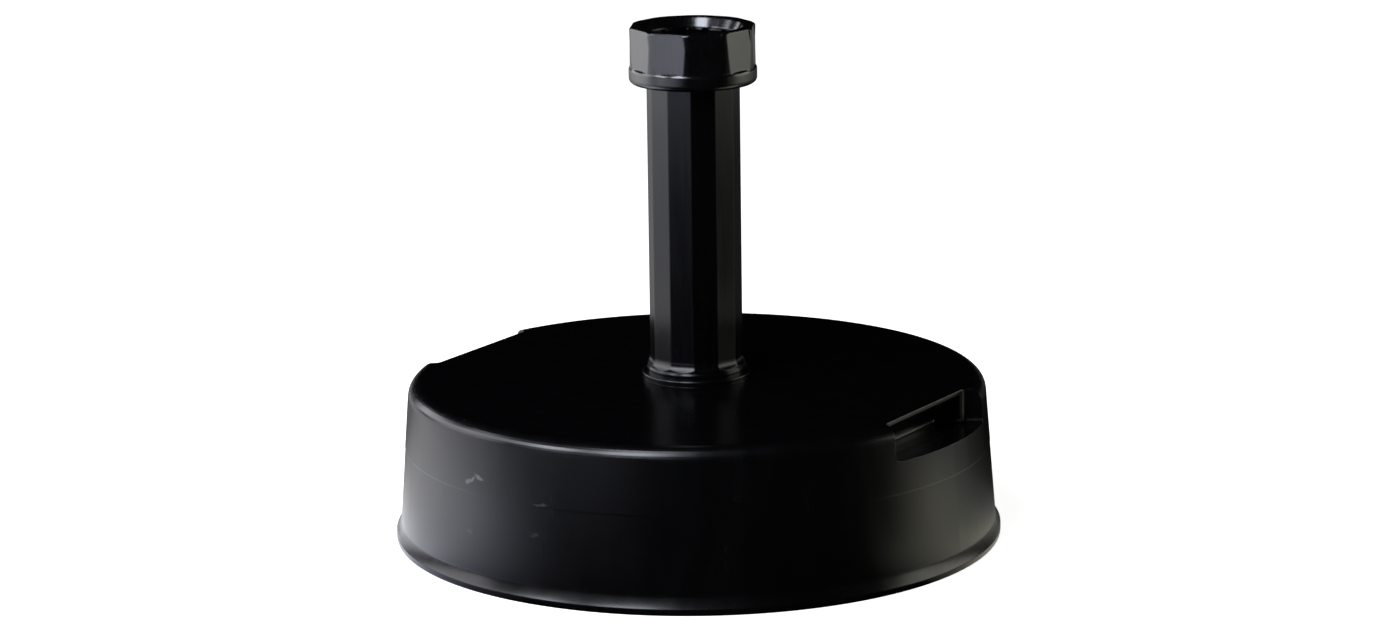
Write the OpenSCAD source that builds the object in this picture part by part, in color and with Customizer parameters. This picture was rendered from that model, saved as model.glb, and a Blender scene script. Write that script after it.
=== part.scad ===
// Round concrete-filled stand with a moulded plastic shell, two grip recesses,
// a twelve-sided upright tube and a screw-down nut that clamps a 60.3 mm post.
// Millimetres, +Z up. The origin is at the middle of the underside, on the floor,
// and the two grip recesses lie on the X axis.

/* [Shell] */
// Diameter over the lip at the floor
lip_d = 450; // [430:1:480]
// How far the lip stands out past the foot of the wall
lip_out = 3.7; // [2.8:0.1:5]
// Height of the lip's upright edge
lip_h = 7.6; // [6:0.1:10]
// Rounding of the lip's lower edge
lip_round = 2.4; // [1:0.1:3]
// Radius of the cove between the lip and the wall
cove_r = 6; // [4:0.5:8]
// Height of the deck above the floor
base_h = 118.5; // [110:0.5:135]
// Lean of the wall from upright, in degrees
wall_draft = 4.5; // [2:0.1:7]
// Wall thickness of the shell
skin = 3; // [2:0.1:4]
// Radius of the rounding between wall and deck
rim_r = 10.5; // [7:0.5:14]
// Height of the mould's witness line round the wall
witness_z = 70; // [50:1:85]
// How far the wall above the witness line stands out past the wall below it
witness_step = 0.25; // [0.1:0.05:0.6]
// Height of the inner hook under the concrete, which is also its clearance from the floor
hook_h = 3; // [2:0.1:5]
// How far the hook reaches in under the concrete
hook_w = 3.5; // [2:0.1:6]

/* [Boss] */
// Height of the boss above the deck
boss_h = 4.7; // [3:0.1:7]
// Width of the boss's ring round the tube
boss_w = 3.3; // [2.5:0.1:6]
// Rounding of the upper edges of the boss and of the tube's foot
ring_round = 1.2; // [0.5:0.1:2]

/* [Grip recesses] */
// How far the deck's cut edge lies in from the top of the wall
grip_set = 21; // [16:0.5:28]
// Length of the deck's cut edge
grip_l = 117; // [90:1:130]
// Angle by which the recess's ends open outwards, in degrees
grip_flare = 31; // [20:1:40]
// Depth of the recess below the deck
grip_h = 25.5; // [22:0.5:34]
// Thickness of the edge that the fingers hook under
finger_lip = 4; // [3.5:0.1:7]
// Room for the fingertips behind that edge
finger_room = 10; // [6:0.5:16]
// Lean of the wall behind the fingertips, which makes the room deeper below, in degrees
finger_slope = 20; // [0:1:28]
// Corner radius of the recess, in plan and along its floor
grip_corner = 4.5; // [3:0.1:6]
// Rounding of the deck's cut edge
grip_edge = 1.5; // [0.8:0.1:2.2]

/* [Post tube] */
// Outside diameter of the post
post_d = 60.3; // [58:0.1:62]
// Radial room between the post and the bore
post_gap = 0.6; // [0.3:0.05:1]
// Wall of the tube at its corners
tube_wall = 3.45; // [3:0.05:4.5]
// Turn of the tube's corners from the grip axis, in degrees
tube_turn = -1.5; // [-15:0.5:15]
// How far the round neck above the foot stands out past the tube's corners
neck_out = 1.5; // [1:0.1:2]
// How far the foot ring stands out past the neck
foot_out = 0.9; // [0.5:0.1:2]
// Height of the foot ring above the deck
foot_h = 9; // [7:0.1:12]
// Height of the plain neck between the foot ring and the scooped ends of the sides
neck_h = 1.2; // [0.5:0.1:3]
// Radius in which each side runs out into the neck
scoop_r = 10; // [6:0.5:16]
// Thickness of the tube's floor, on which the post stands
floor_t = 6; // [4:0.5:10]
// Diameter of the drain hole in that floor
drain_d = 10; // [6:1:16]
// Number of grooves round the embedded foot, which lock it in the concrete
anchors = 3; // [1:1:4]
// Depth of such a groove
anchor_d = 2.5; // [1.5:0.1:2.8]
// Height of such a groove
anchor_h = 12; // [8:0.5:18]
// Height of the fingertips above the floor
tube_top = 373.5; // [340:0.5:420]

/* [Clamping head] */
// Wall of the threaded head at the thread's root
thread_wall = 4.65; // [4:0.05:5.5]
// Depth of the thread
thread_d = 1.8; // [1.2:0.1:2.2]
// Pitch of the thread
thread_p = 4; // [3.6:0.1:5]
// Number of thread turns
thread_turns = 5; // [3:1:5]
// Number of slots that part the clamping fingers
slots = 12; // [6:2:12]
// Width of each slot
slot_w = 4.8; // [2:0.1:5.5]
// Length of the fingers
finger_l = 29; // [20:0.5:31]
// Height of the fingers' tapered part
taper_h = 9; // [7:0.5:10]
// Lean of the taper from upright, in degrees
taper_angle = 13.5; // [11:0.5:15]

/* [Clamp nut] */
// Overall height of the nut
nut_h = 42; // [41:0.5:46]
// Depth of the fingertips below the nut's top
tip_depth = 7.5; // [5:0.5:9]
// Wall of the nut outside its thread
nut_wall = 9.1; // [7:0.1:11]
// How far the bead at the nut's foot stands out past its body
bead_out = 0.4; // [0.2:0.1:1.2]
// Height of the bead with its rounded edges
bead_h = 13; // [11:0.5:15]
// Rounding under the bead
bead_round = 4; // [2:0.1:5]
// Rounding of the nut's upper edge
nut_round = 1.6; // [0.8:0.1:2.4]
// Lean of the funnel in the nut's mouth from upright, in degrees
funnel_lean = 30; // [20:1:36]
// Number of grip flutes round the nut
flutes = 10; // [8:1:12]
// Width of a flute at its middle, in degrees round the nut
flute_span = 31; // [20:1:31]
// Radius of a flute's hollow
flute_r = 400; // [150:10:500]
// Lean of the flutes from upright, in degrees
flute_lean = 9.5; // [0:0.5:12]
// Tilt by which the flutes deepen towards the nut's top, in degrees
flute_tilt = 1.5; // [0:0.5:2]
// Turn of the flutes from the grip axis, in degrees
flute_turn = -45.5; // [-60:0.5:60]
// Room between the nut and the tube's head, on every side
run_gap = 0.3; // [0.3:0.05:0.6]

/* [Hidden] */
$fn = 96;

over = 1;                 // how far a cutter runs past what it cuts
tube_sides = 12;
arc_steps = 8;            // straight steps in a rounding
cast_gap = 0.3;           // between the concrete and what it was cast round
lip_slope = 1;            // height of the bevel between the lip's edge and the cove
cove_turn = 60;           // degrees of cove between lip and wall

// Shell
lip_r = lip_d / 2;
wall_foot_r = lip_r - lip_out;
wall_foot_z = lip_h + lip_slope + cove_r * sin(cove_turn);
deck_under = base_h - skin;
rim_z = base_h - rim_r;

// Radius of the wall's outer face at a height
function wall_r(z) =
    wall_foot_r - (z - wall_foot_z) * tan(wall_draft) + (z > witness_z ? witness_step : 0);

// Radius of the wall's inner face at a height, moved in by a further gap
function inner_r(z, gap = 0) =
    wall_foot_r - (z - wall_foot_z) * tan(wall_draft) - (skin + gap) / cos(wall_draft);

rim_cx = wall_r(rim_z + rim_r * sin(wall_draft)) - rim_r * cos(wall_draft);
deck_r = wall_r(base_h);
hook_r = inner_r(hook_h) - hook_w;

// Grip recesses
grip_x = deck_r - grip_set;
grip_floor_z = base_h - grip_h;
grip_back = grip_x - finger_room;
finger_z = base_h - finger_lip;
grip_far = lip_r + 4 * over;
finger_inset = 5;         // the finger room is this much shorter at each end
finger_step = 0.6;        // and its floor this much higher
floor_n = 4;              // steps in a recess's corners
edge_n = 3;               // steps in the rounding of its edges
edge_over = 0.2;          // how far that rounding's cutter runs past the edge
least_r = 0.4;            // smallest corner radius that a recess's plan may shrink to

// Post tube
bore_r = post_d / 2 + post_gap;
corner_r = bore_r + tube_wall;
flat_r = corner_r * cos(180 / tube_sides);
neck_r = corner_r + neck_out;
foot_r = neck_r + foot_out;
foot_z = base_h + foot_h;
anchor_step = (deck_under - hook_h) / anchors;
scoop_d = neck_r - flat_r;
scoop_z = foot_z + neck_h + sqrt(2 * scoop_r * scoop_d - scoop_d * scoop_d);
boss_bore_r = foot_r + cast_gap;

// Clamping head
nut_top = tube_top + tip_depth;
nut_foot = nut_top - nut_h;
head_lift = 1.5;          // from the nut's foot up to the threaded head
head_z = nut_foot + head_lift;
taper_z = tube_top - taper_h;
core_r = bore_r + thread_wall;
crest_r = core_r + thread_d;
tip_r = core_r - taper_h * tan(taper_angle);
root_w = 0.34 * thread_p; // half the width of a thread turn at its root
crest_w = 0.16 * thread_p;

// Clamp nut
nut_r = crest_r + run_gap + nut_wall;
bead_r = nut_r + bead_out;
shoulder_z = nut_foot + bead_h;
tip_room = 0.5;           // from the fingertips up to the throat of the nut's mouth
throat_z = tube_top + tip_room;
throat_r = core_r + run_gap - (throat_z - taper_z) * tan(taper_angle);
mouth_round = 1;
mouth_r = throat_r + mouth_round * cos(funnel_lean)
    + (nut_top - throat_z - mouth_round * (1 - sin(funnel_lean))) * tan(funnel_lean);
shoulder_r = 3;           // rounding above the bead
shoulder_turn = 50;       // and the degrees of it that stand clear of the nut's body

// Points along an arc in the plane of a section
function arc(cx, cy, r, from, to, n = arc_steps) =
    [for (i = [0:n]) let (a = from + (to - from) * i / n) [cx + r * cos(a), cy + r * sin(a)]];

// The rounding between wall and deck, moved in by a wall thickness t
function rim_arc(t) = arc(rim_cx, rim_z, rim_r - t, wall_draft, 90);

// Stacks plans with equal point counts into one closed solid
module loft(plans, heights) {
    n = len(plans[0]);
    last = len(plans) - 1;
    points = [for (k = [0:last]) for (p = plans[k]) [p[0], p[1], heights[k]]];
    sides = [for (k = [0:last - 1]) for (i = [0:n - 1])
        let (a = k * n + i, b = k * n + (i + 1) % n)
        for (face = [[a, a + n, b], [b, a + n, b + n]]) face];
    under = [for (i = [0:n - 1]) i];
    cap = [for (i = [0:n - 1]) last * n + n - 1 - i];
    polyhedron(points = points, faces = concat([under], sides, [cap]), convexity = 4);
}

// Plan of a recess whose back wall is at x = back, grown all round by g, with its ends
// moved in by inset
function grip_plan(back, g, inset = 0) =
    let (half = function (x) grip_l / 2 - inset + (x - grip_x) * tan(grip_flare) + g / cos(grip_flare),
         r = max(grip_corner + g, least_r),
         cx = back - g + r,
         cy = half(cx) - r / cos(grip_flare),
         turn = arc(cx, cy, r, 90 + grip_flare, 180, floor_n))
    concat([[grip_far, -half(grip_far)], [grip_far, half(grip_far)]],
           turn,
           [for (i = [len(turn) - 1:-1:0]) [turn[i][0], -turn[i][1]]]);

// Steps of the rounding along a recess's floor: how far in, and how far up
function floor_steps(r) =
    [for (i = [0:floor_n]) let (a = 90 * i / floor_n) [r * (1 - sin(a)), r * (1 - cos(a))]];

// Hollow of one recess, open above and outside, or its jacket where g is more than 0
module grip_hollow(g) {
    low = floor_steps(grip_corner + g);
    high = [for (i = [0:edge_n]) let (a = 90 * i / edge_n) grip_edge * [1 - cos(a), sin(a) - 1]];
    plans = [for (s = low) grip_plan(grip_x, g - s[0])];
    heights = [for (s = low) grip_floor_z - g + s[1]];
    if (g > 0)
        loft(concat(plans, [grip_plan(grip_x, g)]),
             concat(heights, [base_h - skin / 2]));
    else
        loft(concat(plans, [for (s = high) grip_plan(grip_x, s[0])], [grip_plan(grip_x, grip_edge)]),
             concat(heights, [for (s = high) base_h + s[1]], [base_h + over]));
}

// Place of the wall behind the fingertips at a height
function finger_x(z) = grip_back - (finger_z - z) * tan(finger_slope);

// Room for the fingertips behind the recess, grown all round by g
module finger_hollow(g) {
    low = floor_steps(grip_corner + g);
    foot = grip_floor_z + finger_step - g;
    top = g > 0 ? base_h - skin / 2 : finger_z;
    loft(concat([for (s = low) grip_plan(finger_x(foot + s[1]), g - s[0], finger_inset)],
                [grip_plan(finger_x(top), g, finger_inset)]),
         concat([for (s = low) foot + s[1]], [top]));
}

// Rounds the lower edge that the fingers hook under
module finger_edge() {
    steps = [for (i = [0:edge_n]) let (a = 90 * i / edge_n)
        [grip_edge - (grip_edge + edge_over) * sin(a), grip_edge * (1 - cos(a))]];
    loft(concat([grip_plan(grip_x - grip_edge, 0, finger_inset + over)],
                [for (s = steps) grip_plan(grip_x - s[0], 0, finger_inset + over)]),
         concat([finger_z - over], [for (s = steps) finger_z + s[1]]));
}

// Side of the tube's embedded foot with its anchor grooves, moved out by g
function foot_line(g) =
    [for (i = [0:anchors - 1])
        let (z = hook_h + (i + 0.5) * anchor_step, half = anchor_h / 2 - g, slope = anchor_d / 2)
        for (p = [[0, -half], [anchor_d, slope - half], [anchor_d, half - slope], [0, half]])
            [foot_r + g - p[0], z + p[1]]];

// Places its children at both grips
module both_grips() {
    for (a = [0, 180])
        rotate(a) children();
}

// SHELL

// Everything inside the shell's outer face
module shell_outer() {
    rotate_extrude()
        polygon(concat(
            [[0, 0]],
            arc(lip_r - lip_round, lip_round, lip_round, -90, 0, 4),
            [[lip_r, lip_h]],
            arc(wall_foot_r + cove_r, wall_foot_z, cove_r, 180 + cove_turn, 180),
            [[wall_r(witness_z), witness_z],
             [wall_r(witness_z + witness_step), witness_z + witness_step]],
            rim_arc(0),
            [[0, base_h]]));
}

// The hollow that the concrete fills, open at the floor inside the hook
module shell_hollow() {
    rotate_extrude()
        polygon(concat(
            [[0, -over], [hook_r, -over], [hook_r, hook_h], [inner_r(hook_h), hook_h]],
            rim_arc(skin),
            [[0, deck_under]]));
}

// The raised ring round the tube
module boss() {
    r = boss_bore_r + boss_w;
    top = base_h + boss_h;
    rotate_extrude()
        polygon(concat(
            [[boss_bore_r, deck_under], [r, deck_under]],
            arc(r - ring_round, top - ring_round, ring_round, 0, 90, 4),
            [[boss_bore_r, top]]));
}

module shell() {
    color("#191a1c")
    difference() {
        union() {
            difference() {
                shell_outer();
                shell_hollow();
            }
            intersection() {
                both_grips() {
                    grip_hollow(skin);
                    finger_hollow(skin);
                }
                shell_outer();
            }
            boss();
        }
        both_grips() {
            grip_hollow(0);
            finger_hollow(0);
            finger_edge();
        }
        translate([0, 0, deck_under - over])
            cylinder(r = boss_bore_r, h = skin + boss_h + 2 * over);
    }
}

// CONCRETE FILL

module concrete_fill() {
    color("#8d8a83")
    difference() {
        rotate_extrude()
            polygon(concat(
                [[0, hook_h], [inner_r(hook_h, cast_gap), hook_h]],
                rim_arc(skin + cast_gap),
                [[rim_cx - cast_gap, deck_under], [0, deck_under]]));
        both_grips() {
            grip_hollow(skin + cast_gap);
            finger_hollow(skin + cast_gap);
        }
        rotate_extrude()
            polygon(concat(
                [[0, hook_h - over], [foot_r + cast_gap, hook_h - over]],
                foot_line(cast_gap),
                [[foot_r + cast_gap, base_h], [0, base_h]]));
    }
}

// POST TUBE

// The tube's twelve sides, which curve outwards at their lower ends
module tube_flats() {
    reach = scoop_d + over;
    turn = acos(1 - reach / scoop_r);
    steps = [for (i = [arc_steps:-1:0]) let (a = turn * i / arc_steps)
        [flat_r + scoop_r * (1 - cos(a)), scoop_z - scoop_r * sin(a)]];
    rows = concat([[steps[0][0], foot_z - ring_round]], steps, [[flat_r, head_z + over]]);
    loft([for (row = rows) [for (i = [0:tube_sides - 1])
             let (a = tube_turn + i * 360 / tube_sides, r = row[0] / cos(180 / tube_sides))
             [r * cos(a), r * sin(a)]]],
         [for (row = rows) row[1]]);
}

// The faceted tube with its round foot and embedded lower end
module tube_body() {
    rotate_extrude()
        polygon(concat(
            [[0, hook_h], [foot_r, hook_h]],
            foot_line(0),
            arc(foot_r - ring_round, foot_z - ring_round, ring_round, 0, 90, 4),
            [[0, foot_z]]));
    intersection() {
        translate([0, 0, foot_z - over])
            cylinder(r = neck_r, h = head_z + 2 * over - foot_z);
        tube_flats();
    }
}

// Turns of the thread, each a ring, grown by g for the nut's matching grooves
module thread_rings(g) {
    for (i = [0:thread_turns - 1])
        translate([0, 0, taper_z - (i + 1) * thread_p])
            rotate_extrude()
                polygon([[bore_r + over, -root_w - g], [core_r, -root_w - g],
                         [crest_r + g, -crest_w - g], [crest_r + g, crest_w + g],
                         [core_r, root_w + g], [bore_r + over, root_w + g]]);
}

// The round head with its thread and tapered fingers
module tube_head() {
    step = core_r - flat_r + over;
    rotate_extrude()
        polygon([[0, head_z - step - over], [flat_r - over, head_z - step],
                 [core_r, head_z], [core_r, taper_z], [tip_r, tube_top], [0, tube_top]]);
    thread_rings(0);
}

module post_tube() {
    color("#1d1e20")
    difference() {
        union() {
            tube_body();
            tube_head();
        }
        translate([0, 0, hook_h + floor_t])
            cylinder(r = bore_r, h = tube_top);
        translate([0, 0, hook_h - over])
            cylinder(d = drain_d, h = floor_t + 2 * over);
        for (i = [0:slots / 2 - 1])
            rotate(tube_turn + (i + 0.5) * 360 / slots)
                translate([-crest_r - over, -slot_w / 2, tube_top - finger_l])
                    cube([2 * (crest_r + over), slot_w, finger_l + over]);
    }
}

// CLAMP NUT

// The nut's foot, a plain bead that is rounded above and below
module nut_bead() {
    rotate_extrude()
        polygon(concat(
            [[core_r + run_gap, nut_foot]],
            arc(bead_r - bead_round, nut_foot + bead_round, bead_round, -90, 0),
            arc(bead_r - shoulder_r, shoulder_z - shoulder_r, shoulder_r, 0, shoulder_turn, floor_n),
            [[nut_r - shoulder_r, shoulder_z], [core_r + run_gap, shoulder_z]]));
}

// The nut's body above the bead, with the funnel that leads the post into it
module nut_drum() {
    inner_edge = throat_r - over * tan(funnel_lean);
    rotate_extrude()
        polygon(concat(
            [[inner_edge, shoulder_z - over], [nut_r, shoulder_z - over]],
            arc(nut_r - nut_round, nut_top - nut_round, nut_round, 0, 90, 5),
            arc(mouth_r, nut_top - mouth_round, mouth_round, 90, 180 - funnel_lean, 4),
            [[inner_edge, throat_z - over]]));
}

// One leaning grip flute, a shallow hollow between two lands
module flute() {
    half = flute_span / 2;
    centre = nut_r * cos(half) + sqrt(pow(flute_r, 2) - pow(nut_r * sin(half), 2));
    edge = nut_r + 2 * over;
    turn = asin(edge * sin(half) / flute_r);
    translate([0, 0, (shoulder_z + nut_top) / 2])
        rotate([flute_lean, -flute_tilt, 0])
            linear_extrude(nut_h, center = true)
                polygon(concat(
                    [[edge, -edge * sin(half)]],
                    [[edge, edge * sin(half)]],
                    arc(centre, 0, flute_r, 180 - turn, 180 + turn)));
}

// What the nut leaves free for the thread, the fingers and the post
module nut_hollow() {
    thread_rings(run_gap);
    rotate_extrude()
        polygon([[0, nut_foot - over], [core_r + run_gap + 2 * over, nut_foot - over],
                 [core_r + run_gap, nut_foot + over], [core_r + run_gap, taper_z],
                 [throat_r - over * tan(taper_angle), throat_z + over], [0, throat_z + over]]);
}

module clamp_nut() {
    color("#141516")
    difference() {
        union() {
            nut_bead();
            difference() {
                nut_drum();
                for (i = [0:flutes - 1])
                    rotate(flute_turn + i * 360 / flutes)
                        flute();
            }
        }
        nut_hollow();
    }
}

shell();
concrete_fill();
post_tube();
clamp_nut();
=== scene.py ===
"""Looks of a concrete-filled post base: a black moulded shell, its faceted tube and its nut."""

import logging
import math
from dataclasses import dataclass
from enum import Enum
from typing import Any, Mapping, Sequence

import bmesh
import bpy
from mathutils import Matrix, Vector, noise


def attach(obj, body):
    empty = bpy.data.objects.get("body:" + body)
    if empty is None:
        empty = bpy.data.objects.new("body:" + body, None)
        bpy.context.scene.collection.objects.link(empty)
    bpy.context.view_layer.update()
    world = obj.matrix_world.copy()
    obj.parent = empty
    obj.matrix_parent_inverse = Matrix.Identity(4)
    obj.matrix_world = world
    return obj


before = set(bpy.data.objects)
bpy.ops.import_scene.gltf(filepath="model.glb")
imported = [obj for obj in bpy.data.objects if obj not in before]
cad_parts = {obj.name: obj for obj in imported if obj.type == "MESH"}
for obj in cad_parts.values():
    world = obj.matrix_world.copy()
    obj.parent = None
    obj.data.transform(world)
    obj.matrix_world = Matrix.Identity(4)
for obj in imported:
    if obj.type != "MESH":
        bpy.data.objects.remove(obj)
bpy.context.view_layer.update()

LOG = logging.getLogger("post_base")

MM = 0.001
PHOTO_WIDTH_PX = 1398
# Nearly all values of a noise texture lie between these two.
NOISE_SPAN = (0.25, 0.75)


class Body(Enum):
    """The bodies that the joints move."""

    BASE = "base"
    NUT = "nut"


class Part(Enum):
    """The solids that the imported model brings."""

    SHELL = "shell"
    CONCRETE = "concrete_fill"
    TUBE = "post_tube"
    NUT = "clamp_nut"


def linear(hex_colour: str) -> tuple[float, float, float, float]:
    """Turns an sRGB hex colour into linear RGBA.

    Args:
        hex_colour: A colour such as "#1a1b1c".

    Returns:
        Linear red, green, blue and an alpha of 1.
    """
    channels = [int(hex_colour[i : i + 2], 16) / 255 for i in (1, 3, 5)]
    rgb = [c / 12.92 if c <= 0.04045 else ((c + 0.055) / 1.055) ** 2.4 for c in channels]
    return rgb[0], rgb[1], rgb[2], 1.0


def per_metre(size_mm: float) -> float:
    """Noise scale in object space for features of this size."""
    return 1.0 / (size_mm * MM)


def add_node(
    tree: bpy.types.NodeTree,
    kind: str,
    links: Mapping[int | str, bpy.types.NodeSocket] | None = None,
    values: Mapping[int | str, Any] | None = None,
    **settings: Any,
) -> bpy.types.Node:
    """Adds one node with its settings and links.

    Args:
        tree: The node tree that takes it.
        kind: Blender's name for the node type.
        links: Input socket to the output that feeds it.
        values: Input socket to its fixed value.
        **settings: Attributes of the node itself.

    Returns:
        The new node.
    """
    node = tree.nodes.new(kind)
    for name, value in settings.items():
        setattr(node, name, value)
    for socket, value in (values or {}).items():
        node.inputs[socket].default_value = value
    for socket, source in (links or {}).items():
        tree.links.new(source, node.inputs[socket])
    return node


def new_material(name: str) -> bpy.types.Material:
    """Makes a node material with an empty tree.

    Args:
        name: The material's name.

    Returns:
        The new material.
    """
    material = bpy.data.materials.new(name)
    material.use_nodes = True
    material.node_tree.nodes.clear()
    return material


@dataclass(frozen=True)
class Mark:
    """A rubbed place on a moulded wall.

    Attributes:
        azimuth: Degrees round the axis from +X.
        radius: Distance from the axis in millimetres.
        height: Height above the floor in millimetres.
        length: Length along the wall in millimetres.
        width: Width in millimetres.
        slope: Degrees that it climbs from level.
        strength: How far it hides the plastic, from 0 to 1.
    """

    azimuth: float
    radius: float
    height: float
    length: float
    width: float
    slope: float
    strength: float


@dataclass(frozen=True)
class Flare:
    """The slope in which a moulded wall runs out into its lip.

    The solid has an upright edge, a bevel and a cove there. The real mould blends them into one
    slope, so the shading normals follow that slope over a thin upright edge.

    Attributes:
        low_mm: Heights between which the slope takes over from the edge.
        high_mm: Heights between which it gives way to the wall.
        steepest_mm: Height up to which it looks up most.
        tilts: Degrees that it looks up there and at its upper end.
        inner_mm: Radius outside which it lies.
        soft_mm: Width of the step at that radius.
    """

    low_mm: tuple[float, float]
    high_mm: tuple[float, float]
    steepest_mm: float
    tilts: tuple[float, float]
    inner_mm: float
    soft_mm: float = 1.0

    def bend(
        self, tree: bpy.types.NodeTree, place: bpy.types.NodeSocket, normal: bpy.types.NodeSocket
    ) -> bpy.types.NodeSocket:
        """Turns the normals of the lip's faces to the slope.

        Args:
            tree: The material's node tree.
            place: Object coordinates.
            normal: The normals before.

        Returns:
            The normals after.
        """
        outward = add_node(
            tree, "ShaderNodeVectorMath", {0: place}, {1: (1, 1, 0)}, operation="MULTIPLY"
        ).outputs[0]
        radius = add_node(tree, "ShaderNodeVectorMath", {0: outward}, operation="LENGTH")
        level = add_node(tree, "ShaderNodeVectorMath", {0: outward}, operation="NORMALIZE")
        height = add_node(tree, "ShaderNodeSeparateXYZ", {0: place}).outputs["Z"]
        steep, slight = (math.tan(math.radians(tilt)) for tilt in self.tilts)
        rise = add_node(
            tree,
            "ShaderNodeMapRange",
            {"Value": height},
            {
                "From Min": self.steepest_mm * MM,
                "From Max": self.high_mm[1] * MM,
                "To Min": steep,
                "To Max": slight,
            },
        )
        up = add_node(tree, "ShaderNodeCombineXYZ", {"Z": rise.outputs[0]})
        slope = add_node(
            tree, "ShaderNodeVectorMath", {0: level.outputs[0], 1: up.outputs[0]}, operation="ADD"
        )
        share = None
        for length, start_mm, end_mm in (
            (height, self.low_mm[0], self.low_mm[1]),
            (height, self.high_mm[1], self.high_mm[0]),
            (radius.outputs["Value"], self.inner_mm - self.soft_mm, self.inner_mm),
        ):
            step = add_node(
                tree,
                "ShaderNodeMapRange",
                {"Value": length},
                {"From Min": start_mm * MM, "From Max": end_mm * MM},
                interpolation_type="SMOOTHSTEP",
            ).outputs[0]
            if share is not None:
                step = add_node(
                    tree, "ShaderNodeMath", {0: share, 1: step}, operation="MULTIPLY"
                ).outputs[0]
            share = step
        # The vector sockets of a mix node share their names with the others, so they go by place.
        mixed = add_node(
            tree,
            "ShaderNodeMix",
            {"Factor": share, 4: normal, 5: slope.outputs[0]},
            data_type="VECTOR",
        )
        return mixed.outputs[1]


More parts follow.
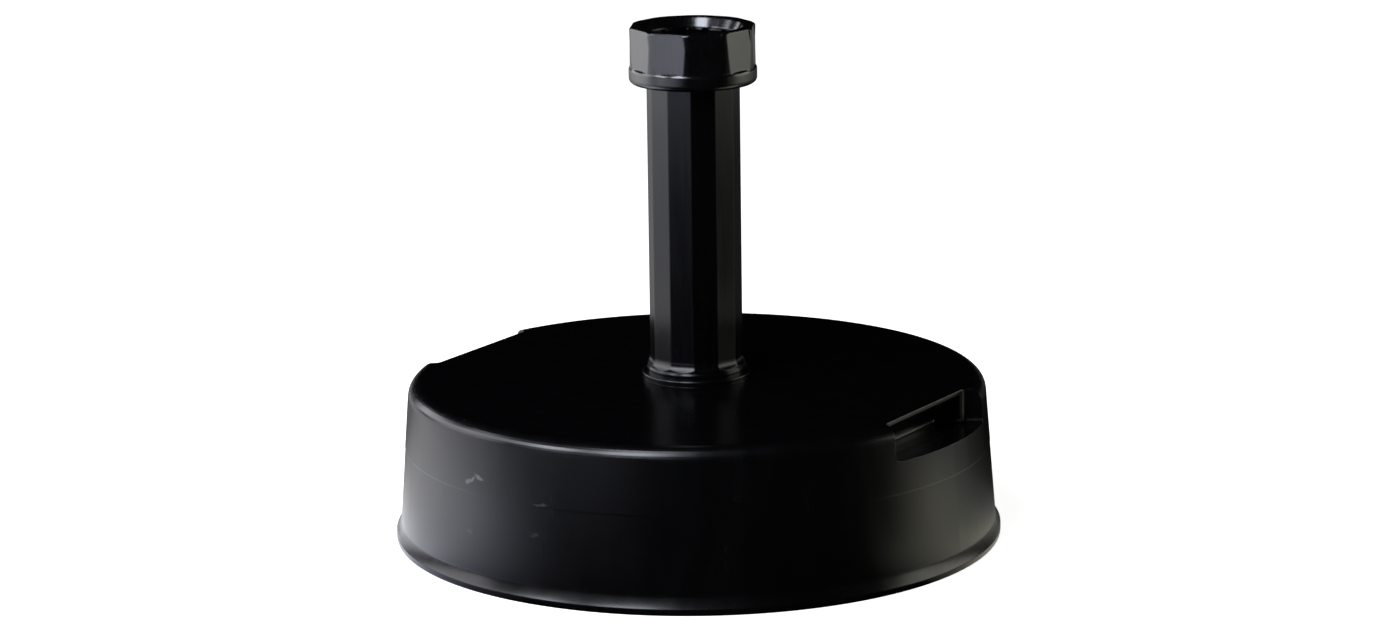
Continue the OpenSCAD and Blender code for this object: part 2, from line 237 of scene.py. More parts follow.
@dataclass(frozen=True)
class MouldedPlastic:
    """A carbon-black thermoplastic as it leaves the mould.

    Attributes:
        name: The material's name.
        colour: The plastic's own colour.
        haze: Colour of the lighter haze that flow and handling leave.
        haze_share: How much of the haze shows at most.
        haze_span: Noise values between which the haze sets in.
        ior: Refractive index.
        sheen: Strength of its reflections, where 0.5 is a plain dielectric.
        roughness: Mean roughness.
        roughness_spread: How far the roughness swings either way.
        grain_mm: Width of the mould's spark-eroded grain. The real one, under 0.1 mm, would be too
            fine to show, so it is drawn about ten times as coarse.
        grain_height_mm: Height of that grain.
        flow_mm: Width and length of the flow lines, upright.
        wave_mm: Width of the sink waves in the wall.
        wave_height_mm: Height of those waves.
        edge_mm: Rounding that the light finds on sharp edges.
        rub: Colour of rubbed places.
        rub_core: How far in from its edge a rubbed place is whole, from 0 to 1.
        marks: Rubbed places.
        tatter_mm: Width of the tatters at the edge of a rubbed place.
        tatter_reach_mm: How far those tatters shift it.
        dull_mm: Lowest and highest place of the face that the mould's texture dulls.
        dull_edge_mm: Height over which the sheen comes back beyond them.
        dull_share: Share of the sheen that is left there.
        flare: Run-out at the foot of the wall.
    """

    name: str
    colour: str
    haze: str
    haze_share: float
    ior: float
    sheen: float
    roughness: float
    roughness_spread: float
    grain_mm: float
    grain_height_mm: float
    flow_mm: tuple[float, float]
    wave_mm: float
    wave_height_mm: float
    edge_mm: float
    haze_span: tuple[float, float] = (0.4, 0.8)
    rub: str = "#a5a5a2"
    rub_core: float = 0.6
    marks: tuple[Mark, ...] = ()
    tatter_mm: float = 5.0
    tatter_reach_mm: float = 4.0
    dull_mm: tuple[float, float] | None = None
    dull_edge_mm: float = 0.1
    dull_share: float = 1.0
    flare: Flare | None = None

    def _mark_mask(
        self, tree: bpy.types.NodeTree, place: bpy.types.NodeSocket, mark: Mark
    ) -> bpy.types.NodeSocket:
        """Builds the mask of one rubbed place.

        Args:
            tree: The material's node tree.
            place: Object coordinates, slightly broken up.
            mark: The rubbed place.

        Returns:
            A value that is 0 away from the mark.
        """
        turn = math.radians(mark.azimuth)
        centre = Vector((math.cos(turn), math.sin(turn), 0)) * mark.radius * MM
        centre.z = mark.height * MM
        blob = add_node(
            tree,
            "ShaderNodeMapping",
            {"Vector": place},
            {
                "Location": centre,
                "Rotation": (math.radians(mark.slope), 0, turn),
                "Scale": (mark.length * MM, mark.length * MM / 2, mark.width * MM / 2),
            },
            vector_type="TEXTURE",
        )
        fade = add_node(
            tree, "ShaderNodeTexGradient", {"Vector": blob.outputs[0]}, gradient_type="SPHERICAL"
        )
        mask = add_node(
            tree,
            "ShaderNodeMapRange",
            {"Value": fade.outputs["Fac"]},
            {"From Max": self.rub_core, "To Max": mark.strength},
        )
        return mask.outputs[0]

    def build(self) -> bpy.types.Material:
        """Builds the material.

        Returns:
            The finished material.
        """
        material = new_material(self.name)
        tree = material.node_tree
        place = add_node(tree, "ShaderNodeTexCoord").outputs["Object"]
        grain = add_node(
            tree,
            "ShaderNodeTexNoise",
            {"Vector": place},
            {"Scale": per_metre(self.grain_mm), "Detail": 2.0, "Roughness": 0.55},
        )
        waves = add_node(
            tree,
            "ShaderNodeTexNoise",
            {"Vector": place},
            {"Scale": per_metre(self.wave_mm), "Detail": 1.0, "Roughness": 0.4},
        )
        across, along = self.flow_mm
        stretched = add_node(
            tree,
            "ShaderNodeMapping",
            {"Vector": place},
            {"Scale": (per_metre(across), per_metre(across), per_metre(along))},
        )
        flow = add_node(
            tree,
            "ShaderNodeTexNoise",
            {"Vector": stretched.outputs[0]},
            {"Scale": 1.0, "Detail": 3.0, "Roughness": 0.6},
        )
        roughness = add_node(
            tree,
            "ShaderNodeMapRange",
            {"Value": flow.outputs[0]},
            {
                "From Min": NOISE_SPAN[0],
                "From Max": NOISE_SPAN[1],
                "To Min": self.roughness - self.roughness_spread,
                "To Max": self.roughness + self.roughness_spread,
            },
        )
        haze_mask = add_node(
            tree,
            "ShaderNodeMapRange",
            {"Value": flow.outputs[0]},
            {
                "From Min": self.haze_span[0],
                "From Max": self.haze_span[1],
                "To Max": self.haze_share,
            },
        )
        colour = add_node(
            tree,
            "ShaderNodeMix",
            {"Factor": haze_mask.outputs[0]},
            {"A": linear(self.colour), "B": linear(self.haze)},
            data_type="RGBA",
        ).outputs["Result"]
        colour = self._rubbed(tree, place, grain.outputs[0], colour)
        rounded = add_node(
            tree, "ShaderNodeBevel", None, {"Radius": self.edge_mm * MM}, samples=6
        )
        sink = add_node(
            tree,
            "ShaderNodeBump",
            {"Height": waves.outputs[0], "Normal": rounded.outputs[0]},
            {"Strength": 1.0, "Distance": self.wave_height_mm * MM},
        )
        bump = add_node(
            tree,
            "ShaderNodeBump",
            {"Height": grain.outputs[0], "Normal": sink.outputs[0]},
            {"Strength": 1.0, "Distance": self.grain_height_mm * MM},
        )
        normal = bump.outputs[0]
        if self.flare:
            normal = self.flare.bend(tree, place, normal)
        shader = add_node(
            tree,
            "ShaderNodeBsdfPrincipled",
            {"Base Color": colour, "Roughness": roughness.outputs[0], "Normal": normal},
            {"IOR": self.ior, "Specular IOR Level": self.sheen},
        )
        if self.dull_mm:
            tree.links.new(self._dulled(tree, place), shader.inputs["Specular IOR Level"])
        add_node(tree, "ShaderNodeOutputMaterial", {"Surface": shader.outputs[0]})
        return material

    def _dulled(
        self, tree: bpy.types.NodeTree, place: bpy.types.NodeSocket
    ) -> bpy.types.NodeSocket:
        """Takes sheen off the textured top face.

        Args:
            tree: The material's node tree.
            place: Object coordinates.

        Returns:
            The specular level at each height.
        """
        low, high = (z * MM for z in self.dull_mm)
        height = add_node(tree, "ShaderNodeSeparateXYZ", {0: place}).outputs["Z"]
        above = add_node(
            tree, "ShaderNodeMath", {0: height}, {1: (low + high) / 2}, operation="SUBTRACT"
        )
        away = add_node(tree, "ShaderNodeMath", {0: above.outputs[0]}, operation="ABSOLUTE")
        level = add_node(
            tree,
            "ShaderNodeMapRange",
            {"Value": away.outputs[0]},
            {
                "From Min": (high - low) / 2,
                "From Max": (high - low) / 2 + self.dull_edge_mm * MM,
                "To Min": self.sheen * self.dull_share,
                "To Max": self.sheen,
            },
        )
        return level.outputs[0]

    def _rubbed(
        self,
        tree: bpy.types.NodeTree,
        place: bpy.types.NodeSocket,
        grain: bpy.types.NodeSocket,
        colour: bpy.types.NodeSocket,
    ) -> bpy.types.NodeSocket:
        """Lays the rubbed places over the plastic's colour.

        Args:
            tree: The material's node tree.
            place: Object coordinates.
            grain: The grain's height. Not used.
            colour: The colour below.

        Returns:
            The colour with its marks.
        """
        if not self.marks:
            return colour
        ragged = add_node(
            tree,
            "ShaderNodeTexNoise",
            {"Vector": place},
            {"Scale": per_metre(self.tatter_mm), "Detail": 3.0, "Roughness": 0.7},
        )
        reach = self.tatter_reach_mm * MM
        shift = add_node(
            tree,
            "ShaderNodeVectorMath",
            {0: ragged.outputs["Color"], 2: place},
            {1: (reach, reach, reach)},
            operation="MULTIPLY_ADD",
        )
        broken = add_node(
            tree,
            "ShaderNodeVectorMath",
            {0: shift.outputs[0]},
            {1: (reach / 2, reach / 2, reach / 2)},
            operation="SUBTRACT",
        ).outputs[0]
        for mark in self.marks:
            mask = self._mark_mask(tree, broken, mark)
            colour = add_node(
                tree,
                "ShaderNodeMix",
                {"Factor": mask, "A": colour},
                {"B": linear(self.rub)},
                data_type="RGBA",
            ).outputs["Result"]
        return colour


@dataclass(frozen=True)
class Fleck:
    """A colour that shows in patches on a cast surface.

    Attributes:
        colour: The colour.
        size_mm: Width or spacing of its patches.
        span: Pattern values at which it sets in and at which it is complete.
        share: How far it hides what lies below.
    """

    colour: str
    size_mm: float
    span: tuple[float, float]
    share: float


@dataclass(frozen=True)
class CastConcrete:
    """Portland cement concrete, struck off level and left rough: grey, dull and pored.

    Attributes:
        name: The material's name.
        paste: Colour of the cement paste.
        clouds: Damp places in the paste.
        sand: Sand grains that show.
        pores: Air pores.
        stone_mm: Width of a stone that shades the surface.
        relief_mm: Height of the rough surface.
    """

    name: str = "cast_concrete"
    paste: str = "#97938b"
    clouds: Fleck = Fleck("#6f6b64", 60.0, (0.35, 0.65), 0.8)
    sand: Fleck = Fleck("#b9b2a2", 1.6, (0.5, 0.2), 0.45)
    pores: Fleck = Fleck("#37352f", 9.0, (0.16, 0.10), 0.8)
    stone_mm: float = 14.0
    relief_mm: float = 0.5

    def build(self) -> bpy.types.Material:
        """Builds the material.

        Returns:
            The finished material.
        """
        material = new_material(self.name)
        tree = material.node_tree
        place = add_node(tree, "ShaderNodeTexCoord").outputs["Object"]
        clouds = add_node(
            tree,
            "ShaderNodeTexNoise",
            {"Vector": place},
            {"Scale": per_metre(self.clouds.size_mm), "Detail": 5.0, "Roughness": 0.65},
        )
        cells, stones, pores = (
            add_node(
                tree, "ShaderNodeTexVoronoi", {"Vector": place}, {"Scale": per_metre(size_mm)}
            ).outputs["Distance"]
            for size_mm in (self.sand.size_mm, self.stone_mm, self.pores.size_mm)
        )
        layers = ((self.clouds, clouds.outputs[0]), (self.sand, cells), (self.pores, pores))
        colour = None
        for fleck, pattern in layers:
            mask = add_node(
                tree,
                "ShaderNodeMapRange",
                {"Value": pattern},
                {"From Min": fleck.span[0], "From Max": fleck.span[1], "To Max": fleck.share},
            )
            mix = add_node(
                tree,
                "ShaderNodeMix",
                {"Factor": mask.outputs[0]},
                {"A": linear(self.paste), "B": linear(fleck.colour)},
                data_type="RGBA",
            )
            if colour is not None:
                tree.links.new(colour, mix.inputs["A"])
            colour = mix.outputs["Result"]
        coarse = add_node(
            tree,
            "ShaderNodeBump",
            {"Height": stones},
            {"Strength": 0.6, "Distance": self.relief_mm * MM},
        )
        fine = add_node(
            tree,
            "ShaderNodeBump",
            {"Height": cells, "Normal": coarse.outputs[0]},
            {"Strength": 0.5, "Distance": self.relief_mm * MM / 2},
        )
        shader = add_node(
            tree,
            "ShaderNodeBsdfPrincipled",
            {"Base Color": colour, "Normal": fine.outputs[0]},
            {"Roughness": 0.92, "IOR": 1.5, "Specular IOR Level": 0.3},
        )
        add_node(tree, "ShaderNodeOutputMaterial", {"Surface": shader.outputs[0]})
        return material


@dataclass(frozen=True)
class PaperSweep:
    """White paper floor that reads as the photograph's blank background.

    Attributes:
        name: The material's name.
        colour: The paper's colour.
        fibre_mm: Width of the paper's fibre clumps.
        fibre_height_mm: Their height.
        blank_share: How far the camera sees it as blank white before any lamp lights it.
    """

    name: str = "white_paper_sweep"
    colour: str = "#f4f4f4"
    fibre_mm: float = 3.0
    fibre_height_mm: float = 0.05
    blank_share: float = 0.93

    def build(self) -> bpy.types.Material:
        """Builds the material.

        Returns:
            The finished material.
        """
        material = new_material(self.name)
        tree = material.node_tree
        place = add_node(tree, "ShaderNodeTexCoord").outputs["Object"]
        fibres = add_node(
            tree,
            "ShaderNodeTexNoise",
            {"Vector": place},
            {"Scale": per_metre(self.fibre_mm), "Detail": 3.0},
        )
        bump = add_node(
            tree,
            "ShaderNodeBump",
            {"Height": fibres.outputs[0]},
            {"Strength": 0.1, "Distance": self.fibre_height_mm * MM},
        )
        paper = add_node(
            tree,
            "ShaderNodeBsdfDiffuse",
            {"Normal": bump.outputs[0]},
            {"Color": linear(self.colour)},
        )
        blank = add_node(tree, "ShaderNodeEmission", None, {"Color": linear("#ffffff")})
        rays = add_node(tree, "ShaderNodeLightPath")
        seen = rays.outputs["Is Camera Ray"]
        for other in ("Is Glossy Ray", "Is Transmission Ray"):
            seen = add_node(
                tree, "ShaderNodeMath", {0: seen, 1: rays.outputs[other]}, operation="MAXIMUM"
            ).outputs[0]
        strength = add_node(
            tree, "ShaderNodeMath", {0: seen}, {1: self.blank_share}, operation="MULTIPLY"
        )
        tree.links.new(strength.outputs[0], blank.inputs["Strength"])
        both = add_node(tree, "ShaderNodeAddShader", {0: paper.outputs[0], 1: blank.outputs[0]})
        add_node(tree, "ShaderNodeOutputMaterial", {"Surface": both.outputs[0]})
        return material


# Polyethylene, injection moulded: satin, slightly waxy, with shallow sink waves in its wide wall.
SHELL_FINISH = MouldedPlastic(
    name="black_polyethylene_moulded",
    colour="#040405",
    haze="#0c0c0d",
    haze_share=0.25,
    ior=1.51,
    sheen=0.5,
    roughness=0.25,
    roughness_spread=0.03,
    grain_mm=1.1,
    grain_height_mm=0.012,
    flow_mm=(14.0, 70.0),
    wave_mm=85.0,
    wave_height_mm=0.35,
    edge_mm=0.8,
    # Azimuth, radius, height, length, width, slope and strength of each.
    marks=(
        Mark(-107.5, 216.3, 78.0, 11.0, 4.0, 18.0, 0.20),
        Mark(-104.6, 215.8, 82.5, 13.0, 3.4, -12.0, 0.22),
        Mark(-106.3, 216.0, 80.5, 6.0, 3.0, 40.0, 0.20),
        Mark(-89.4, 216.8, 71.8, 15.0, 2.6, 4.0, 0.07),
        Mark(-106.8, 219.0, 42.0, 9.0, 4.0, 0.0, 0.05),
        Mark(-90.5, 218.5, 49.5, 10.0, 3.5, 10.0, 0.04),
    ),
    dull_mm=(118.35, 118.65),
    dull_share=0.03,
    flare=Flare(
        low_mm=(4.2, 5.6),
        high_mm=(11.5, 14.8),
        steepest_mm=5.6,
        tilts=(26.5, 14.0),
        inner_mm=219.5,
    ),
)

# Polypropylene: a little glossier on its flats, drawn upwards out of the mould.
TUBE_FINISH = MouldedPlastic(
    name="black_polypropylene_moulded",
    colour="#040405",
    haze="#0d0d0f",
    haze_share=0.4,
    ior=1.49,
    sheen=0.5,
    roughness=0.20,
    roughness_spread=0.03,
    grain_mm=0.8,
    grain_height_mm=0.008,
    flow_mm=(3.0, 60.0),
    wave_mm=40.0,
    wave_height_mm=0.10,
    edge_mm=1.8,
)

# Glass-filled polyamide: hard and dense, with a fine upright texture where hands turn it.
NUT_FINISH = MouldedPlastic(
    name="black_polyamide_moulded",
    colour="#050506",
    haze="#101011",
    haze_share=0.5,
    ior=1.53,
    sheen=0.9,
    roughness=0.18,
    roughness_spread=0.03,
    grain_mm=0.7,
    grain_height_mm=0.010,
    flow_mm=(1.6, 22.0),
    wave_mm=18.0,
    wave_height_mm=0.08,
    edge_mm=1.8,
)


@dataclass
class BallastBase:
    """The moulded shell with its concrete fill.

    Attributes:
        finish: The shell's finish.
        cast_inner_mm: Inner radius of the concrete's open underside.
        cast_outer_mm: Its outer radius.
        cast_z_mm: Height of that face above the floor.
        gap_mm: How far the rough face stays off it at its edges.
        cover_mm: How far the rough plate reaches up into the concrete.
        relief_mm: Depth of its roughness.
        relief_mean: Mean depth as a share of that.
        relief_span: Smallest and largest depth as a share of it.
        lumps: Share, width in millimetres and noise slice of each size of lump.
        step_mm: Width of the mesh's cells there.
        segments: Number of cells round the face.
        fade_cells: Number of cells over which the roughness fades to the edges.
    """

    finish: MouldedPlastic = SHELL_FINISH
    cast_inner_mm: float = 37.2
    cast_outer_mm: float = 215.0
    cast_z_mm: float = 3.0
    gap_mm: float = 0.05
    cover_mm: float = 0.6
    relief_mm: float = 1.3
    relief_mean: float = 0.5
    relief_span: tuple[float, float] = (0.05, 1.0)
    lumps: tuple[tuple[float, float, float], ...] = (
        (0.45, 34.0, 3.1),
        (0.3, 9.0, 7.7),
        (0.18, 3.4, 1.9),
    )
    step_mm: float = 2.6
    segments: int = 360
    fade_cells: int = 2

    def dress(self, concrete: bpy.types.Material) -> None:
        """Gives the two solids their materials.

        Args:
            concrete: The concrete's material, which the cast face shares.
        """
        dress_part(Part.SHELL, self.finish.build())
        dress_part(Part.CONCRETE, concrete)

    def _depth(self, x: float, y: float) -> float:
        """Works out how far the cast face hangs below its plane.

        Args:
            x: Place across, in millimetres.
            y: Place along, in millimetres.

        Returns:
            The depth in millimetres.
        """
        depth = self.relief_mean
        for share, width, layer in self.lumps:
            depth += share * noise.noise(Vector((x, y, layer)) / width)
        least, most = self.relief_span
        return self.relief_mm * min(max(depth, least), most)

    def cast_face(self, concrete: bpy.types.Material) -> bpy.types.Object:
        """Builds the rough underside of the concrete as a thin closed plate.

        Args:
            concrete: Its material.

        Returns:
            The new piece.
        """
        mesh = bmesh.new()
        width = self.cast_outer_mm - self.cast_inner_mm
        rings = round(width / self.step_mm)
        rows = []
        for k in range(rings + 1):
            radius = self.cast_inner_mm + width * k / rings
            fade = min(1.0, k / self.fade_cells, (rings - k) / self.fade_cells)
            row = []
            for i in range(self.segments):
                turn = math.tau * i / self.segments
                x, y = radius * math.cos(turn), radius * math.sin(turn)
                z = self.cast_z_mm - self.gap_mm - self._depth(x, y) * fade
                row.append(mesh.verts.new((x * MM, y * MM, z * MM)))
            rows.append(row)
        for row, following in zip(rows, rows[1:]):
            for i in range(self.segments):
                j = (i + 1) % self.segments
                mesh.faces.new((row[i], row[j], following[j], following[i]))
        top = (self.cast_z_mm + self.cover_mm) * MM
        lids = [[mesh.verts.new((v.co.x, v.co.y, top)) for v in rows[side]] for side in (0, -1)]
        for i in range(self.segments):
            j = (i + 1) % self.segments
            mesh.faces.new((rows[0][j], rows[0][i], lids[0][i], lids[0][j]))
            mesh.faces.new((rows[-1][i], rows[-1][j], lids[1][j], lids[1][i]))
            mesh.faces.new((lids[0][j], lids[0][i], lids[1][i], lids[1][j]))
        bmesh.ops.recalc_face_normals(mesh, faces=mesh.faces)
        piece = finish_mesh(mesh, "cast_face", concrete)
        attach(piece, Body.BASE.value)
        return piece


@dataclass
class PostTube:
    """The twelve-sided tube with its threaded, slotted head.

    Attributes:
        finish: Its finish.
    """

    finish: MouldedPlastic = TUBE_FINISH

    def dress(self) -> None:
        """Gives the tube its material."""
        dress_part(Part.TUBE, self.finish.build())


@dataclass
class ClampNut:
    """The fluted nut that draws the tube's fingers onto the post.

    Attributes:
        finish: Its finish.
    """

    finish: MouldedPlastic = NUT_FINISH

    def dress(self) -> None:
        """Gives the nut its material."""
        dress_part(Part.NUT, self.finish.build())


def dress_part(part: Part, material: bpy.types.Material) -> None:
    """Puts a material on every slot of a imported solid.

    Args:
        part: The solid.
        material: Its material.
    """
    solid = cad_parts[part.value]
    solid.data.materials.clear()
    solid.data.materials.append(material)
    LOG.info("%s wears %s", part.value, material.name)


def finish_mesh(
    mesh: bmesh.types.BMesh, name: str, material: bpy.types.Material
) -> bpy.types.Object:
    """Turns a bmesh into an object in the scene.

    Args:
        mesh: The geometry, which is freed.
        name: The piece's name.
        material: Its material.

    Returns:
        The new object.
    """
    data = bpy.data.meshes.new(name)
    mesh.to_mesh(data)
    mesh.free()
    data.materials.append(material)
    for polygon in data.polygons:
        polygon.use_smooth = True
    piece = bpy.data.objects.new(name, data)
    bpy.context.scene.collection.objects.link(piece)
    LOG.info("%s has %d faces", name, len(data.polygons))
    return piece


@dataclass(frozen=True)
class Glow:
    """How bright the table top is in one direction from the object.

    Attributes:
        side: Degrees to the right of the camera, seen from the object.
        brightness: Radiance, where 1 is as bright as lit white paper.
        colour: Its tint.
    """

    side: float
    brightness: float
    colour: str

    def stop(self) -> float:
        """Place of this direction on a ramp that runs once round the object."""
        return ((self.side + 90) / 360) % 1.0

    def scaled(self, peak: float) -> tuple[float, float, float, float]:
        """Dims the tint to this brightness.

        Args:
            peak: Brightness that full strength stands for.

        Returns:
            Linear RGBA.
        """
        r, g, b, _ = linear(self.colour)
        share = self.brightness / peak
        return r * share, g * share, b * share, 1.0


@dataclass(frozen=True)
class Ring:
    """One ring of the table top outside its middle.

    Attributes:
        fade: Distances from the axis in metres between which the ring takes over.
        glows: Its brightness round the object.
    """

    fade: tuple[float, float]
    glows: tuple[Glow, ...]


@dataclass(frozen=True)
class SoftBox:
    """A rectangular studio lamp that faces the object.

    Attributes:
        name: The lamp's name.
        side: Degrees to the right of the camera, seen from the object.
        height: Degrees above the floor.
        distance: Metres from the object.
        width: Metres across.
        tall: Metres upright.
        brightness: Radiance, where 1 is as bright as lit white paper.
        colour: The lamp's tint.
    """

    name: str
    side: float
    height: float
    distance: float
    width: float
    tall: float
    brightness: float
    colour: str

    def place(self, camera_azimuth: float, target: Vector) -> bpy.types.Object:
        """Hangs the lamp.

        Args:
            camera_azimuth: Degrees round the object at which the camera stands.
            target: The point it faces.

        Returns:
            The lamp.
        """
        lamp = bpy.data.lights.new(self.name, "AREA")
        lamp.shape = "RECTANGLE"
        lamp.size, lamp.size_y = self.width, self.tall
        lamp.energy = self.brightness * math.pi * self.width * self.tall
        lamp.color = linear(self.colour)[:3]
        holder = bpy.data.objects.new(self.name, lamp)
        away = direction(camera_azimuth + self.side, self.height)
        holder.location = target + away * self.distance
        holder.rotation_euler = away.to_track_quat("Z", "Y").to_euler()
        holder.visible_camera = False
        bpy.context.scene.collection.objects.link(holder)
        LOG.info("%s hangs %.1f m away", self.name, self.distance)
        return holder


def direction(azimuth: float, elevation: float) -> Vector:
    """Unit vector from the object to a viewer, where azimuth 0 stands at -Y.

    Args:
        azimuth: Degrees round the object.
        elevation: Degrees above the floor.

    Returns:
        The unit vector.
    """
    a, e = math.radians(azimuth), math.radians(elevation)
    return Vector((math.sin(a) * math.cos(e), -math.cos(a) * math.cos(e), math.sin(e)))


@dataclass
class Studio:
    """The camera, the paper floor, the lamps and the table top that reflections see.

    Attributes:
        azimuth: Degrees round the object at which the camera stands.
        elevation: Degrees above the floor.
        roll: Degrees that the camera leans clockwise.
        distance: Metres from the camera to the object's centre.
        centre_height: Height in metres of that centre, which the lamps face.
        focal_px: Focal length in pixels of the whole photograph.
        aim_height: Height in metres of the point in the middle of the picture.
        aim_side: How far right of the axis that point lies, in metres.
        sensor_mm: Width of the camera's sensor.
        clip: Nearest and farthest distance in metres that the camera sees.
        floor_half: Half the width of the paper floor in metres.
        room: Radiance of the dark room round the studio.
        lamps: The lamps, which the camera doesn't see.
        table_radius: Radius of the table top in metres.
        table_sides: Number of its sides.
        table_z: How far it lies above the paper, in metres.
        middle_glows: Brightness of the table top's middle round the object.
        rings: The rings outside its middle, from the inside outwards. The camera's low view mirrors
            near places in the foot of the wall and far ones in the tube and the nut.
    """

    azimuth: float = 31.5
    elevation: float = 13.32
    roll: float = 0.72
    distance: float = 3.3
    centre_height: float = 0.150
    focal_px: float = 4462.0
    aim_height: float = 0.1638
    aim_side: float = 0.0022
    sensor_mm: float = 36.0
    clip: tuple[float, float] = (0.05, 60.0)
    floor_half: float = 14.0
    room: float = 0.0015
    # Side, height, distance, width, tallness and brightness of each.
    lamps: Sequence[SoftBox] = (
        SoftBox("key_front_left", -29, 44, 2.2, 0.8, 1.4, 9.8, "#eef3ff"),
        SoftBox("fill_left", -62, 32, 2.2, 0.6, 0.8, 11.0, "#f1f4ff"),
        SoftBox("strip_left", -90, 30, 2.0, 1.2, 0.6, 3.2, "#f4f6ff"),
        SoftBox("window_left", -112, 14, 2.2, 2.4, 0.8, 2.6, "#f8f8ff"),
        SoftBox("wall_right", 100, 13, 2.2, 1.6, 0.75, 1.8, "#fffdf0"),
    )
    table_radius: float = 13.8
    table_sides: int = 96
    table_z: float = 0.0002
    middle_glows: Sequence[Glow] = (
        Glow(-180, 0.0, "#fffdf6"),
        Glow(-152, 0.05, "#fbfbff"),
        Glow(-134, 0.2, "#fbfbff"),
        Glow(-112, 1.1, "#fbfbff"),
        Glow(-94, 1.7, "#f6f7ff"),
        Glow(-76, 2.0, "#eef1ff"),
        Glow(-60, 1.0, "#e4e9ff"),
        Glow(-47, 0.25, "#e4e9ff"),
        Glow(-34, 0.0, "#ffffff"),
        Glow(47, 0.0, "#ffffff"),
        Glow(55, 0.35, "#fffde8"),
        Glow(64, 0.75, "#fffde8"),
        Glow(72, 0.85, "#fffde8"),
        Glow(80, 0.75, "#fffde8"),
        Glow(90, 0.45, "#fffeef"),
        Glow(100, 0.2, "#fffff6"),
        Glow(114, 0.03, "#fffffb"),
        Glow(130, 0.0, "#fffffb"),
    )
    rings: Sequence[Ring] = (
        Ring(
            (0.34, 0.5),
            (
                Glow(-180, 0.0, "#fffdf6"),
                Glow(-152, 0.05, "#fbfbff"),
                Glow(-134, 0.2, "#fbfbff"),
                Glow(-112, 1.3, "#fbfbff"),
                Glow(-94, 2.0, "#f6f7ff"),
                Glow(-76, 2.1, "#eef1ff"),
                Glow(-60, 0.85, "#e4e9ff"),
                Glow(-46, 0.05, "#e4e9ff"),
                Glow(-36, 0.0, "#ffffff"),
                Glow(64, 0.0, "#ffffff"),
                Glow(72, 0.5, "#fffde8"),
                Glow(80, 1.05, "#fffde8"),
                Glow(88, 0.9, "#fffeef"),
                Glow(98, 0.35, "#fffff6"),
                Glow(110, 0.06, "#fffffb"),
                Glow(126, 0.0, "#fffffb"),
            ),
        ),
        Ring(
            (0.6, 0.76),
            (
                Glow(-180, 0.1, "#fffdf6"),
                Glow(-150, 0.4, "#fbfbff"),
                Glow(-116, 1.2, "#fbfbff"),
                Glow(-94, 1.1, "#f6f7ff"),
                Glow(-70, 0.35, "#eef1ff"),
                Glow(-54, 0.02, "#e4e9ff"),
                Glow(-38, 0.0, "#ffffff"),
                Glow(66, 0.0, "#ffffff"),
                Glow(84, 0.06, "#fffde8"),
                Glow(100, 0.22, "#fffff6"),
                Glow(126, 0.1, "#fffffb"),
                Glow(146, 0.02, "#fffffb"),
            ),
        ),
        Ring(
            (1.65, 2.15),
            (
                Glow(-180, 0.2, "#fffdf6"),
                Glow(-150, 0.6, "#fbfbff"),
                Glow(-116, 2.2, "#fbfbff"),
                Glow(-94, 2.8, "#f6f7ff"),
                Glow(-82, 1.4, "#f2f4ff"),
                Glow(-72, 1.2, "#f0f2ff"),
                Glow(-60, 2.1, "#eef1ff"),
                Glow(-34, 1.5, "#e4e9ff"),
                Glow(-22, 0.5, "#e4e9ff"),
                Glow(-14, 0.0, "#ffffff"),
                Glow(62, 0.0, "#ffffff"),
                Glow(76, 0.4, "#fffde8"),
                Glow(90, 1.1, "#fffeef"),
                Glow(106, 0.9, "#fffff6"),
                Glow(126, 0.4, "#fffffb"),
                Glow(146, 0.1, "#fffffb"),
            ),
        ),
    )

    def camera(self) -> None:
        """Sets the camera at the photograph's viewpoint."""
        lens = bpy.data.cameras.new("camera")
        lens.sensor_fit = "HORIZONTAL"
        lens.sensor_width = self.sensor_mm
        lens.lens = self.focal_px / PHOTO_WIDTH_PX * self.sensor_mm
        lens.clip_start, lens.clip_end = self.clip
        eye = bpy.data.objects.new("camera", lens)
        back = direction(self.azimuth, self.elevation)
        eye.location = Vector((0, 0, self.centre_height)) + back * self.distance
        turn = math.radians(self.azimuth)
        right = Vector((math.cos(turn), math.sin(turn), 0))
        aim = Vector((0, 0, self.aim_height)) + right * self.aim_side
        look = (eye.location - aim).to_track_quat("Z", "Y").to_matrix()
        eye.rotation_euler = (look @ Matrix.Rotation(math.radians(-self.roll), 3, "Z")).to_euler()
        bpy.context.scene.collection.objects.link(eye)
        bpy.context.scene.camera = eye
        LOG.info("camera lens %.1f mm", lens.lens)

    def _plate(
        self, name: str, corners: Sequence[tuple[float, float]], z: float
    ) -> bpy.types.Object:
        """Makes a flat stage plate.

        Args:
            name: Its name.
            corners: Its outline in metres.
            z: Its height in metres.

        Returns:
            The plate.
        """
        data = bpy.data.meshes.new(name)
        data.from_pydata([(x, y, z) for x, y in corners], [], [tuple(range(len(corners)))])
        plate = bpy.data.objects.new(name, data)
        bpy.context.scene.collection.objects.link(plate)
        return plate

    def floor(self) -> None:
        """Lays the white paper."""
        h = self.floor_half
        paper = self._plate("paper_floor", [(-h, -h), (h, -h), (h, h), (-h, h)], 0.0)
        paper.data.materials.append(PaperSweep().build())

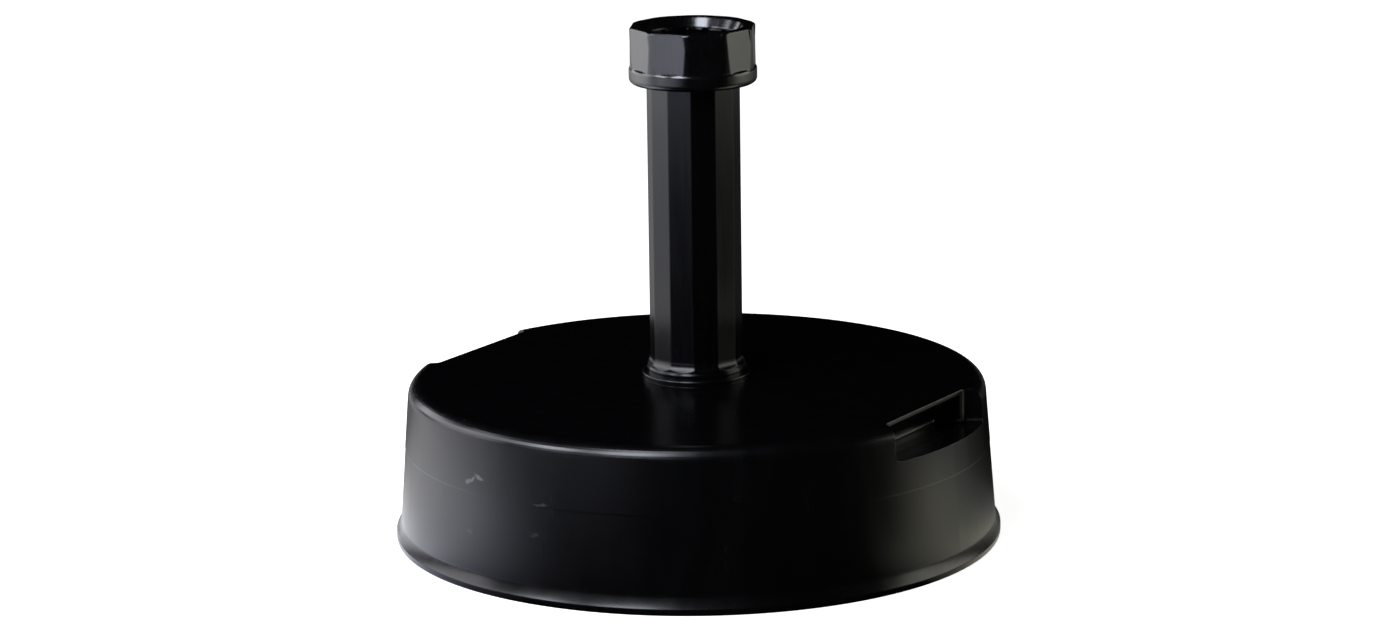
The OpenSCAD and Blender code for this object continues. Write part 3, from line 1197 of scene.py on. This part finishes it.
    def _ramp(
        self,
        tree: bpy.types.NodeTree,
        turn: bpy.types.NodeSocket,
        glows: Sequence[Glow],
        peak: float,
    ) -> bpy.types.NodeSocket:
        """Lays a ring of glows round the object on a colour ramp.

        Args:
            tree: The card's node tree.
            turn: Place round the object, from 0 to 1.
            glows: The ring's brightness round the object.
            peak: Brightness that full white stands for.

        Returns:
            The ring's colour at that place.
        """
        ramp = add_node(tree, "ShaderNodeValToRGB", {"Fac": turn})
        stops = sorted((glow.stop(), glow.scaled(peak)) for glow in glows)
        (first, first_colour), (last, last_colour) = stops[0], stops[-1]
        blend = (1 - last) / (1 - last + first)
        seam = [a + (b - a) * blend for a, b in zip(last_colour, first_colour)]
        # A new ramp has a stop at either end, and the circle closes there.
        elements = ramp.color_ramp.elements
        elements[0].color = elements[1].color = seam
        for stop, colour in stops:
            elements.new(stop).color = colour
        return ramp.outputs["Color"]

    def table_card(self) -> None:
        """Lays the table top that only reflections see: black in front, lit at both sides."""
        material = new_material("studio_table_top")
        tree = material.node_tree
        place = add_node(tree, "ShaderNodeTexCoord").outputs["Object"]
        turn = add_node(
            tree, "ShaderNodeTexGradient", {"Vector": place}, gradient_type="RADIAL"
        ).outputs["Fac"]
        circles = [self.middle_glows, *(ring.glows for ring in self.rings)]
        peak = max(glow.brightness for glows in circles for glow in glows)
        reach = add_node(tree, "ShaderNodeVectorMath", {0: place}, operation="LENGTH")
        colour = self._ramp(tree, turn, self.middle_glows, peak)
        for ring in self.rings:
            near, far = ring.fade
            fade = add_node(
                tree,
                "ShaderNodeMapRange",
                {"Value": reach.outputs["Value"]},
                {"From Min": near, "From Max": far},
                interpolation_type="SMOOTHSTEP",
            )
            colour = add_node(
                tree,
                "ShaderNodeMix",
                {
                    "Factor": fade.outputs[0],
                    "A": colour,
                    "B": self._ramp(tree, turn, ring.glows, peak),
                },
                data_type="RGBA",
            ).outputs["Result"]
        shader = add_node(tree, "ShaderNodeEmission", {"Color": colour}, {"Strength": peak})
        add_node(tree, "ShaderNodeOutputMaterial", {"Surface": shader.outputs[0]})
        r = self.table_radius
        turns = [math.tau * i / self.table_sides for i in range(self.table_sides)]
        corners = [(r * math.cos(t), r * math.sin(t)) for t in turns]
        card = self._plate("table_card", corners, self.table_z)
        card.rotation_euler.z = math.radians(self.azimuth)
        card.data.materials.append(material)
        card.visible_camera = False
        card.visible_diffuse = False
        card.visible_transmission = False
        card.visible_shadow = False

    def light(self) -> None:
        """Hangs the lamps and sets a dim room behind them."""
        for lamp in self.lamps:
            lamp.place(self.azimuth, Vector((0, 0, self.centre_height)))
        world = bpy.data.worlds.new("room")
        bpy.context.scene.world = world
        world.use_nodes = True
        tree = world.node_tree
        tree.nodes.clear()
        room, blank = (
            add_node(
                tree,
                "ShaderNodeBackground",
                None,
                {"Color": linear("#ffffff"), "Strength": strength},
            ).outputs[0]
            for strength in (self.room, 1.0)
        )
        rays = add_node(tree, "ShaderNodeLightPath")
        mix = add_node(
            tree,
            "ShaderNodeMixShader",
            {0: rays.outputs["Is Camera Ray"], 1: room, 2: blank},
        )
        add_node(tree, "ShaderNodeOutputWorld", {"Surface": mix.outputs[0]})

    def set_up(self) -> None:
        """Sets up the whole studio."""
        self.camera()
        self.floor()
        self.table_card()
        self.light()


def main() -> None:
    """Builds the looks piece by piece."""
    logging.basicConfig(level=logging.INFO, format="%(name)s: %(message)s")
    bpy.context.scene.view_settings.view_transform = "Standard"
    concrete = CastConcrete().build()
    base = BallastBase()
    base.dress(concrete)
    base.cast_face(concrete)
    PostTube().dress()
    ClampNut().dress()
    Studio().set_up()


if __name__ == "__main__":
    main()
